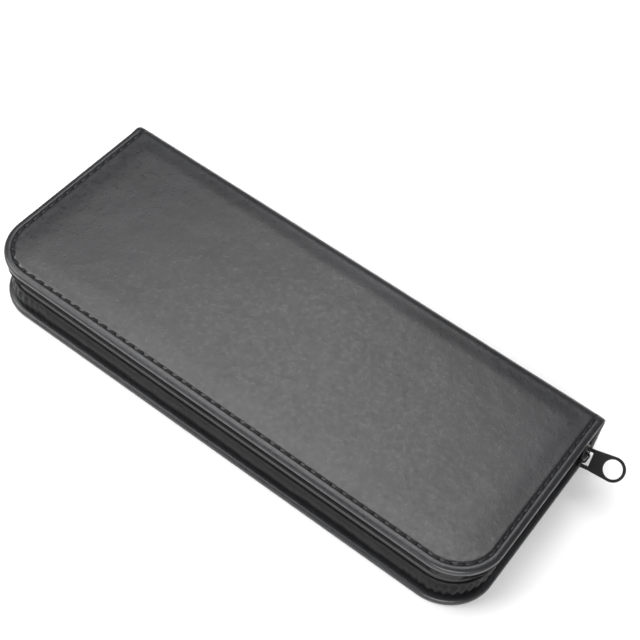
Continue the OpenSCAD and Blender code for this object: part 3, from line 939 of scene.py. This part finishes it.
def shield(x_from, x_to, y_mid, z_mid, half_y, half_z, rings=9):
    """Slider plate: a rounded shield, crowned on the side at x_to."""
    angles = np.linspace(0, 2 * math.pi, 40, endpoint=False)
    power = 0.55
    y = np.sign(np.cos(angles)) * np.abs(np.cos(angles)) ** power
    z = np.sign(np.sin(angles)) * np.abs(np.sin(angles)) ** power
    made = []
    for u in np.linspace(0, 1, rings):
        shrink = 1 - 0.22 * u ** 3
        x = np.full(len(angles), x_from + (x_to - x_from) * u)
        waist = 1 - 0.16 * (1 - y) / 2
        made.append(np.column_stack([x, y_mid + half_y * y * shrink,
                                     z_mid + half_z * z * shrink * waist]))
    return loft("shield", np.array(made), METAL)


def slider():
    """Slider: two crowned plates, the wedge between the coils and the lower flanges."""
    low, high = span("slider_body")
    plate = 0.8
    y_mid, z_mid = (low.y + high.y) / 2, (low.z + high.z) / 2
    half_y, half_z = (high.y - low.y) / 2, (high.z - low.z) / 2
    parts = [
        shield(high.x - plate, high.x + 0.12, y_mid, z_mid, half_y, half_z),
        shield(low.x + plate, low.x, y_mid, z_mid, half_y, half_z),
        block((low.x + 0.4, high.y - 3.0, z_mid - 0.3), (high.x - 0.4, high.y - 0.5, z_mid + 0.3)),
    ]
    flange, reach = 0.45, half_y - 1.6
    for x in (low.x + plate - 0.1, high.x - plate - flange + 0.1):
        parts.append(block((x, y_mid - reach, low.z), (x + flange, y_mid + reach, low.z + 1.0)))
    put(cast("slider_casting", parts, METAL, 0.12, 3), "slider", "black_metal", "slider_body")


def bail():
    """Bridge on the slider that holds the pull tab's bar."""
    low, high = span("slider_bail")
    half_bar = 0.3
    y_low, y_high, x_top = low.y + half_bar, high.y - half_bar, high.x - half_bar
    bend = 0.8
    turn = np.linspace(0, math.pi / 2, 7)
    path = [(low.x - 0.3, y_low)]
    path += [(x_top - bend + bend * math.sin(a), y_low + bend - bend * math.cos(a)) for a in turn]
    path += [(x_top - bend + bend * math.cos(a), y_high - bend + bend * math.sin(a)) for a in turn]
    path += [(low.x - 0.3, y_high)]
    line = np.array([(x, y, (low.z + high.z) / 2) for x, y in path])
    upright = np.tile([0.0, 0.0, 1.0], (len(line), 1))
    rings = tube_rings(line, upright, (high.z - low.z) / 2, 14, flat=half_bar * 2
                       / (high.z - low.z))
    put(loft("bail", rings, METAL), "slider", "black_metal", "slider_bail")


def tab_frame():
    """Pull tab's axes at rest: pivot, way along the tab, way along its bar, and its normal."""
    joint = next(j for j in frame["joints"] if j["name"] == "pull_swing")
    pivot = np.array(joint["pos_m"]) / MM
    bar = np.array(joint["axis"])
    points = np.array([v.co for v in frame["nodes"]["puller_tab"].data.vertices]) / MM - pivot
    far = points[np.linalg.norm(points, axis=1) > 9].mean(0)
    along = far - (far @ bar) * bar
    along /= np.linalg.norm(along)
    return pivot, along, bar, np.cross(bar, along)


def tab_strip(axes, pivot):
    """Flat part of the tab, from its crotch to the round eye at its end."""
    turn = np.linspace(0, 2 * math.pi, 72, endpoint=False)
    eye = np.column_stack([np.cos(turn), np.sin(turn)])
    to_crotch = (TAB_REACH - TAB_CROTCH) / np.maximum(1e-6, -eye[:, 0])
    side_slope = (TAB_HALF_W - TAB_ROOT) / (TAB_REACH - TAB_CROTCH)
    to_side = TAB_HALF_W / np.maximum(1e-6, np.abs(eye[:, 1]) - side_slope * eye[:, 0])
    outer = np.where(eye[:, 0] > 0, TAB_HALF_W, np.minimum(to_crotch, to_side))
    hole = np.full(len(eye), TAB_HOLE_R)
    softened, shoulder = 0.14, TAB_HALF_T - 0.22
    profile = [(hole, 0.0), (hole, shoulder), (hole + softened, TAB_HALF_T),
               (outer - softened, TAB_HALF_T), (outer, shoulder), (outer, 0.0),
               (outer, -shoulder), (outer - softened, -TAB_HALF_T),
               (hole + softened, -TAB_HALF_T), (hole, -shoulder)]
    loops = [np.column_stack([eye * radius[:, None] + [TAB_REACH, 0], np.full(len(eye), height)])
             for radius, height in profile]
    rings = np.stack(loops, axis=1)
    rings = np.concatenate([rings, rings[:1]])
    return build("strip", (rings @ axes + pivot).reshape(-1, 3),
                 grid_faces(*rings.shape[:2], closed=True), METAL)


def pull_tab():
    """Flat strip with a round eye, two cheeks and the bar that lies under the bail."""
    pivot, along, bar, normal = tab_frame()
    axes = np.array([along, bar, normal])
    parts = [tab_strip(axes, pivot)]
    half = TAB_CHEEK / 2
    for side in (-1, 1):
        middle = side * (TAB_ROOT - half)
        arm = block((-0.05, middle - half, -TAB_HALF_T),
                    (TAB_CROTCH + 0.6, middle + half, TAB_HALF_T))
        for vertex in arm.data.vertices:
            vertex.co = Vector((np.array(vertex.co) / MM @ axes + pivot) * MM)
        parts.append(arm)
        parts.append(slug(pivot + bar * (middle - half), pivot + bar * (middle + half),
                          TAB_KNUCKLE_R))
    parts.append(slug(pivot - bar * TAB_ROOT * 0.9, pivot + bar * TAB_ROOT * 0.9, TAB_BAR_R))
    put(cast("pull_tab", parts, METAL, 0.11, 3), "puller", "black_metal", "puller_tab")


def zips():
    zip_coil("lower_coil", "lower_zip_coil", "bottom_half", ZIP_Z - 0.53, 0.0)
    zip_coil("upper_coil", "upper_zip_coil", "top_half", ZIP_Z + 0.53, 0.0)
    zip_stops()
    slider()
    bail()
    pull_tab()
    for node in ("lower_zip_tape", "upper_zip_tape", "zip_tail"):
        repaint(node, TAPE)


def repaint(node, finish):
    """Gives a CAD node that stays in view its finish."""
    for slot in frame["nodes"][node].material_slots:
        slot.material = finish


# ---------------------------------------------------------------- pen holders

def sheet_ring(midline, thick):
    """Closed outline of a sheet of this thickness along a line of (y, z) points."""
    way = np.gradient(midline, axis=0)
    way /= np.linalg.norm(way, axis=1)[:, None]
    side = np.column_stack([-way[:, 1], way[:, 0]])
    return np.concatenate([midline + side * thick / 2, (midline - side * thick / 2)[::-1]])


def sleeve(name, node, mouth_r, tip_r, mouth_at_low_x):
    """Tapering leather loop for a pen, sewn down by its two flanges."""
    low, high = span(node)
    y_mid, base_z = (low.y + high.y) / 2, low.z
    centre, leather_t, flange = 4.2, 0.8, 2.5
    stations = np.concatenate([[0, 0.004, 0.012, 0.03, 0.045, 0.05], np.linspace(0.08, 0.985, 30),
                               [0.995, 1.0]])
    rings = []
    for u in stations:
        radius = mouth_r + (tip_r - mouth_r) * u + leather_t / 2
        hem = 0.22 * (1 - ease(0.03, 0.05, u)) - 0.2 * max(0.0, 1 - u / 0.01)
        fold = math.asin((centre - leather_t / 2) / radius)
        angles = np.linspace(-fold + 0.22, math.pi + fold - 0.22, 41)
        arch = np.column_stack([np.cos(angles), np.sin(angles)]) * (radius + hem)
        arch[:, 1] += centre
        sag = 0.35 * math.sin(math.pi * u) * np.sin(np.clip(angles, 0, math.pi)) ** 2
        crease = 0.16 * wobble(u * 5, angles * 1.1, 11.0 + mouth_r) * np.sin(math.pi * u)
        arch *= 1 - (crease / radius)[:, None]
        arch[:, 1] -= sag
        foot = radius * math.cos(fold)
        lap = [(foot + leather_t / 2 + flange - 0.1 - k * (flange - 0.35) / 4, leather_t / 2)
               for k in range(5)]
        line = np.concatenate([lap, arch, [(-y, z) for y, z in lap[::-1]]])
        ring = sheet_ring(line, leather_t * (1 - 0.35 * max(0.0, 1 - u / 0.01)))
        x = low.x + (high.x - low.x) * (u if mouth_at_low_x else 1 - u)
        rings.append(np.column_stack([np.full(len(ring), x), ring[:, 0] + y_mid,
                                      np.maximum(ring[:, 1], 0.02) + base_z]))
    piece = loft(name, np.array(rings), SLEEVE)
    mouth_x = low.x if mouth_at_low_x else high.x
    # The hem round the mouth is lightened.
    mark_wear_and_highlight(piece, lambda x, y, z: 1 - ease(0.3, 1.2, np.abs(x - mouth_x)))
    return put(piece, "bottom_half", "sleeve_leather", node)


def sleeve_seams(node, mouth_r, tip_r, mouth_at_low_x, spacing=3.0):
    """Places of the stitches along both flanges of a sleeve and round its mouth's hem."""
    low, high = span(node)
    length = high.x - low.x
    y_mid, centre, leather_t = (low.y + high.y) / 2, 4.2, 0.8
    places = []
    count = int(length // spacing)
    ends = [math.sqrt((r + leather_t) ** 2 - centre ** 2) + 1.3 for r in (mouth_r, tip_r)]
    for i in range(count):
        u = (i + 0.5) / count
        x = low.x + length * (u if mouth_at_low_x else 1 - u)
        for side in (-1, 1):
            y = y_mid + side * (ends[0] + (ends[1] - ends[0]) * u)
            slope = side * (ends[1] - ends[0]) / length * (1 if mouth_at_low_x else -1)
            way = np.array([1, slope, 0]) / math.hypot(1, slope)
            places.append(((x, y, low.z + leather_t + 0.02), way, (0, 0, 1)))
    return places


def band_section(width, thick, ribs):
    """Cross-section of ribbed elastic, (x, z), counter-clockwise from its lower left."""
    across = np.linspace(-0.5, 0.5, ribs * 4 + 1)
    taper = 1 - np.abs(2 * across) ** 14
    crest = 0.09 * (np.abs(np.cos(math.pi * ribs * across)) - 0.5)
    top = np.column_stack([across * width, thick * (0.5 + 0.5 * taper) + crest * taper])
    floor = np.column_stack([across * width, thick * 0.5 * (1 - taper) + 0 * crest])
    return np.concatenate([floor, top[::-1]])


def elastic_band(name, node, body, upside_down=False):
    """Ribbed elastic sewn down at both ends and bowed between them."""
    low, high = span(node)
    thick, end, bow = 1.2, 4.0, (high.z - low.z) - 1.2
    length, width = high.y - low.y, high.x - low.x
    section = band_section(width, thick, 20)
    rings = []
    for y in np.linspace(low.y, high.y, round(length / 0.7) + 1):
        near_end = min(y - low.y, high.y - y)
        rise = bow * ease(end - 0.4, end + 4.5, near_end)
        press = 1 - 0.3 * math.exp(-(((near_end - end / 2) / 0.5) ** 2))
        draw = 1 - 0.035 * ease(end, length / 2, near_end)
        z = section[:, 1] * press + rise
        z = high.z - z if upside_down else low.z + z
        x = (low.x + high.x) / 2 + section[:, 0] * draw
        rings.append(np.column_stack([x, np.full(len(x), y), z]))
    put(loft(name, np.array(rings), ELASTIC), body, "elastic", node)


def band_seams(node, upside_down=False, spacing=2.4):
    """Places of the stitches across both ends of a band, in two rows each."""
    low, high = span(node)
    width = high.x - low.x
    count = int(width // spacing)
    z = high.z - 0.9 if upside_down else low.z + 0.9
    up = (0, 0, -1 if upside_down else 1)
    places = []
    for y in (low.y + 2.0, high.y - 2.0):
        for i in range(count):
            places.append(((low.x + (i + 0.5) * width / count, y, z), (1, 0, 0), up))
    return places


def tail_tab():
    """Leather tab sewn over the tail of the zip, with rounded corners and a dished face."""
    low, high = span("tail_tab")
    half_from, half_to = (high.z - low.z) / 2, 5.6
    length, thick, z_mid = high.x - low.x, high.y - low.y, (low.z + high.z) / 2
    turn = np.linspace(0, 2 * math.pi, 96, endpoint=False)
    power = 0.28
    u = np.sign(np.cos(turn)) * np.abs(np.cos(turn)) ** power
    w = np.sign(np.sin(turn)) * np.abs(np.sin(turn)) ** power
    half = half_from + (half_to - half_from) * (u + 1) / 2
    rings = []
    for shrink, share in ((1.6, 1.0), (0.5, 1.0), (0.12, 0.8), (0.0, 0.5), (0.12, 0.2),
                          (0.5, 0.0), (1.0, 0.02), (1.35, 0.16), (1.7, 0.03), (2.6, 0.0),
                          (4.6, 0.05)):
        x = low.x + length / 2 + u * (length / 2 - shrink)
        z = z_mid + w * (half - shrink)
        lift = 0.25 * np.maximum(0, u) * (1 - share)
        rings.append(np.column_stack([x, low.y + thick * share - lift, z]))
    piece = loft("leather_tail_tab", np.array(rings), SLEEVE)
    # The fold at the free end is lightened: a painted highlight on the fold, with some wear.
    mark_wear_and_highlight(piece, lambda x, y, z: ease(high.x - 1.6, high.x - 0.4, x))
    put(piece, "spine", "sleeve_leather", "tail_tab")
    tail_seam(low, high, half_to)


def tail_seam(low, high, half_to):
    """Stitches round the tail tab's long sides and its free end."""
    inset, z_mid, half_from = 1.35, (low.z + high.z) / 2, (high.z - low.z) / 2
    y = low.y + 0.05
    corners = [(low.x + 1.5, half_from - inset), (high.x - inset, half_to - inset),
               (high.x - inset, inset - half_to), (low.x + 1.5, inset - half_from)]
    places = []
    for (x0, z0), (x1, z1) in zip(corners, corners[1:]):
        length = math.hypot(x1 - x0, z1 - z0)
        count = int(length // 2.4)
        way = ((x1 - x0) / length, 0, (z1 - z0) / length)
        for i in range(count):
            t = (i + 0.5) / count
            places.append(((x0 + (x1 - x0) * t, y, z_mid + z0 + (z1 - z0) * t), way, (0, -1, 0)))
    put(stitches("tail_stitches", places, 1.9, 0.5, 0.28), "spine", "thread")


def tail_rivet():
    """Domed cap rivet with a turned rim."""
    low, high = span("tail_rivet")
    radius = (high.x - low.x) / 2
    centre = (low + high) / 2
    profile = [(radius * 0.3, high.y), (radius * 0.3, low.y + 1.5), (radius - 0.25, low.y + 1.55),
               (radius, low.y + 1.35), (radius, low.y + 1.1), (radius - 0.25, low.y + 0.85),
               (radius - 0.6, low.y + 0.8), (radius - 0.8, low.y + 0.9)]
    profile += [((radius - 0.9) * math.cos(a), low.y + 0.85 - 0.85 * math.sin(a))
                for a in np.linspace(0.1, math.pi / 2 - 0.06, 9)]
    turn = np.linspace(0, 2 * math.pi, 48, endpoint=False)
    rings = [np.column_stack([centre.x + r * np.cos(turn), np.full(len(turn), y),
                              centre.z + r * np.sin(turn)]) for r, y in profile]
    put(loft("cap_rivet", np.array(rings), RIVET), "spine", "rivet_metal", "tail_rivet")


def holders():
    sleeves = (("near_sleeve", "near_pen_sleeve", 7.4, 5.9, False),
               ("spine_sleeve", "spine_pen_sleeve", 9.6, 6.2, True))
    seams = []
    for name, node, mouth_r, tip_r, at_low_x in sleeves:
        sleeve(name, node, mouth_r, tip_r, at_low_x)
        seams += sleeve_seams(node, mouth_r, tip_r, at_low_x)
    for name, node in (("near_band", "near_elastic_band"), ("middle_band", "middle_elastic_band")):
        elastic_band(name, node, "bottom_half")
        seams += band_seams(node)
    put(stitches("holder_stitches", seams, 2.1, 0.5, 0.28), "bottom_half", "thread",
        "holder_stitching")
    elastic_band("lid_band", "lid_elastic_band", "top_half", upside_down=True)
    lid = stitches("lid_stitches", band_seams("lid_elastic_band", True), 2.1, 0.5, 0.28)
    put(lid, "top_half", "thread", "lid_band_stitching")
    tail_tab()
    tail_rivet()


# ---------------------------------------------------------------- studio

def studio_floor():
    """Plain pale floor."""
    bpy.ops.mesh.primitive_plane_add(size=6)
    floor = bpy.context.object
    floor.name = "studio_floor"
    made = Finish("floor_paint", roughness=0.9, specular=0.2)
    made.colour(made.cloud(400, 2), (0.86, 0.86, 0.86), (0.88, 0.88, 0.88))
    floor.data.materials.append(made.material)


def softbox(name, at, aim, size, power, tint=(1, 1, 1)):
    """Rectangular area light that looks at a point; places in metres."""
    data = bpy.data.lights.new(name, "AREA")
    data.shape = "RECTANGLE"
    data.size, data.size_y = size
    data.energy = power
    data.color = tint
    lamp = bpy.data.objects.new(name, data)
    lamp.location = at
    way = Vector(aim) - Vector(at)
    lamp.rotation_euler = way.to_track_quat("-Z", "Y").to_euler()
    bpy.context.scene.collection.objects.link(lamp)


def studio_lights():
    """A large softbox over the far side, two lower ones from the near side, and a dim room."""
    centre = (0, 0, 0.01)
    softbox("overhead", (-0.35, 0.2, 1.12), centre, (1.2, 0.85), 14)
    softbox("near", (0.65, -1.1, 0.85), centre, (1.2, 0.7), 20)
    softbox("near_left", (-1.0, -0.7, 0.85), centre, (0.9, 0.7), 14)
    world = bpy.data.worlds.new("studio")
    bpy.context.scene.world = world
    world.use_nodes = True
    background = world.node_tree.nodes["Background"]
    background.inputs["Color"].default_value = (1, 1, 1, 1)
    background.inputs["Strength"].default_value = 0.25
    bpy.context.scene.view_settings.view_transform = "Standard"


def camera():
    """Camera at the photograph's viewing angle: heading, height and roll in degrees."""
    at = Vector((141.9, -229.9, 385.2)) * MM
    heading, below, roll = (math.radians(a) for a in (-29.7, 52.63, 8.77))
    forward = Vector((math.sin(heading) * math.cos(below), math.cos(heading) * math.cos(below),
                      -math.sin(below)))
    level = forward.cross(Vector((0, 0, 1))).normalized()
    upright = level.cross(forward)
    right = level * math.cos(roll) + upright * math.sin(roll)
    up = upright * math.cos(roll) - level * math.sin(roll)
    data = bpy.data.cameras.new("camera")
    data.lens = 76.5
    data.sensor_width = 36
    data.clip_start, data.clip_end = 0.01, 20
    made = bpy.data.objects.new("camera", data)
    made.matrix_world = Matrix((right, up, -forward)).transposed().to_4x4()
    made.location = at
    bpy.context.scene.collection.objects.link(made)
    bpy.context.scene.camera = made


camera()
studio_floor()
studio_lights()
covers()
cover_stitches(True)
cover_stitches(False)
walls()
zips()
holders()
